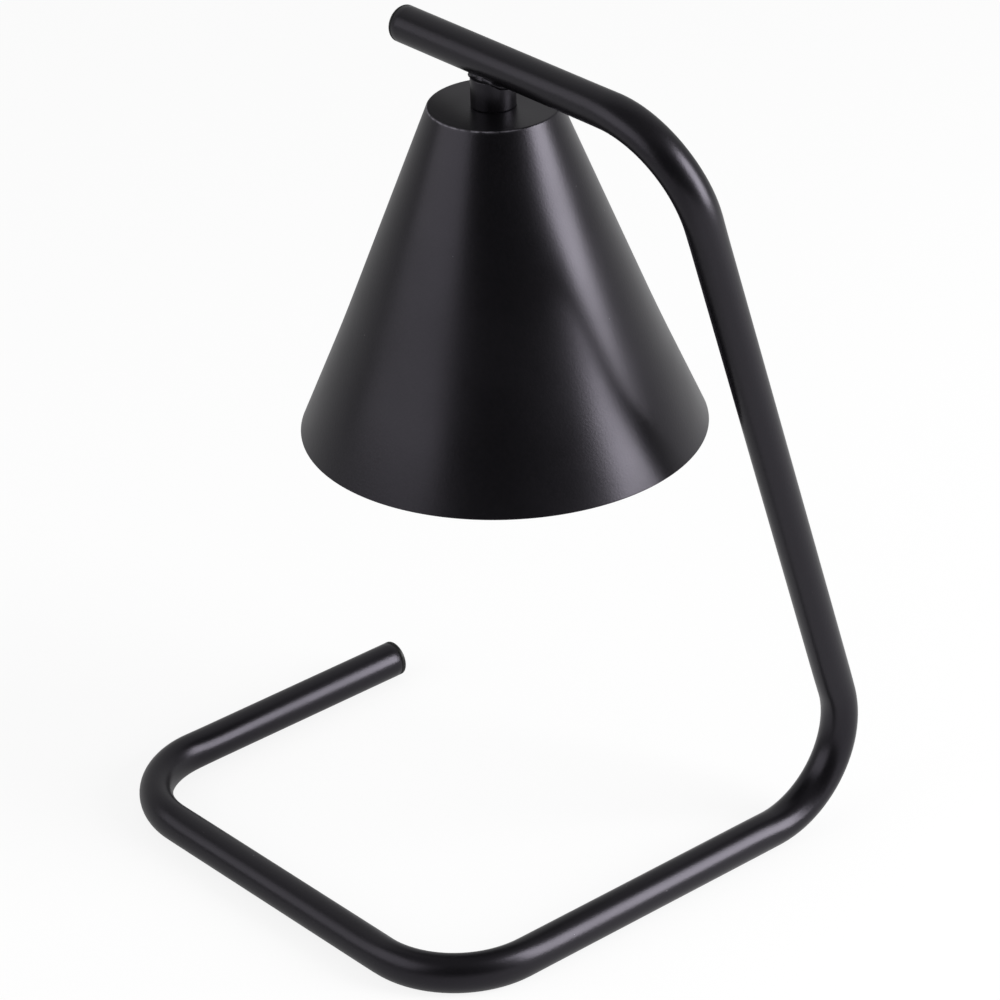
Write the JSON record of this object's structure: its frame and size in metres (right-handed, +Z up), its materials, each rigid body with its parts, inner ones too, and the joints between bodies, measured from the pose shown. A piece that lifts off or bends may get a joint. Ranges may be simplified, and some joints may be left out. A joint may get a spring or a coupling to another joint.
{
  "type": "candle warmer lamp",
  "caption": "Lamp of bent steel tube with a cone shade under its arm: its reflector bulb melts a jar candle from above.",
  "frame": {"origin": "middle of the square footprint, on the table", "axes": "+Z up; +X towards the upright, so the arm's free end points to -X; -Y towards the bar that joins the base's two side bars, +Y towards the open side"},
  "size_m": [0.209, 0.209, 0.309],
  "materials": {
    "black_powder_coat": "satin powder coat",
    "black_plastic": "matte moulded",
    "zinc_plate": "zinc plated",
    "brass": "plain",
    "nickel_plate": "nickel plated",
    "clear_nylon": "natural nylon",
    "white_steatite": "unglazed",
    "silicone": "silicone insulation",
    "tinned_copper": "tin plated",
    "silvered_glass": "silvered inside",
    "clear_glass": "clear",
    "tungsten": "drawn wire"
  },
  "bodies": {
    "lamp": {"frame_tube": "black_powder_coat", "arm_end_plug": "black_plastic", "foot_end_plug": "black_plastic", "neck_bush": "black_powder_coat", "shade": "black_powder_coat", "nipple": "zinc_plate", "nipple_bushes": "clear_nylon", "flat_washer": "zinc_plate", "lock_washer": "zinc_plate", "nipple_nut": "brass", "holder_strap": "zinc_plate", "holder_body": "white_steatite", "holder_cap": "white_steatite", "holder_contacts": "nickel_plate", "holder_screws": "zinc_plate", "holder_nuts": "zinc_plate", "lead_live": "silicone", "lead_neutral": "silicone", "lead_splices": "tinned_copper"},
    "bulb": {"bulb_pins": "nickel_plate", "bulb_base": "white_steatite", "bulb_reflector": "silvered_glass", "bulb_lens": "clear_glass", "bulb_capsule": "clear_glass", "bulb_pinch": "clear_glass", "bulb_filament": "tungsten"}
  },
  "joints": [
    {"name": "bulb_twist", "type": "hinge", "parent": "lamp", "child": "bulb", "pos_m": [0, 0.0205, 0.2516], "axis": [0, 0, -1], "range_deg": [0, 30]}
  ]
}
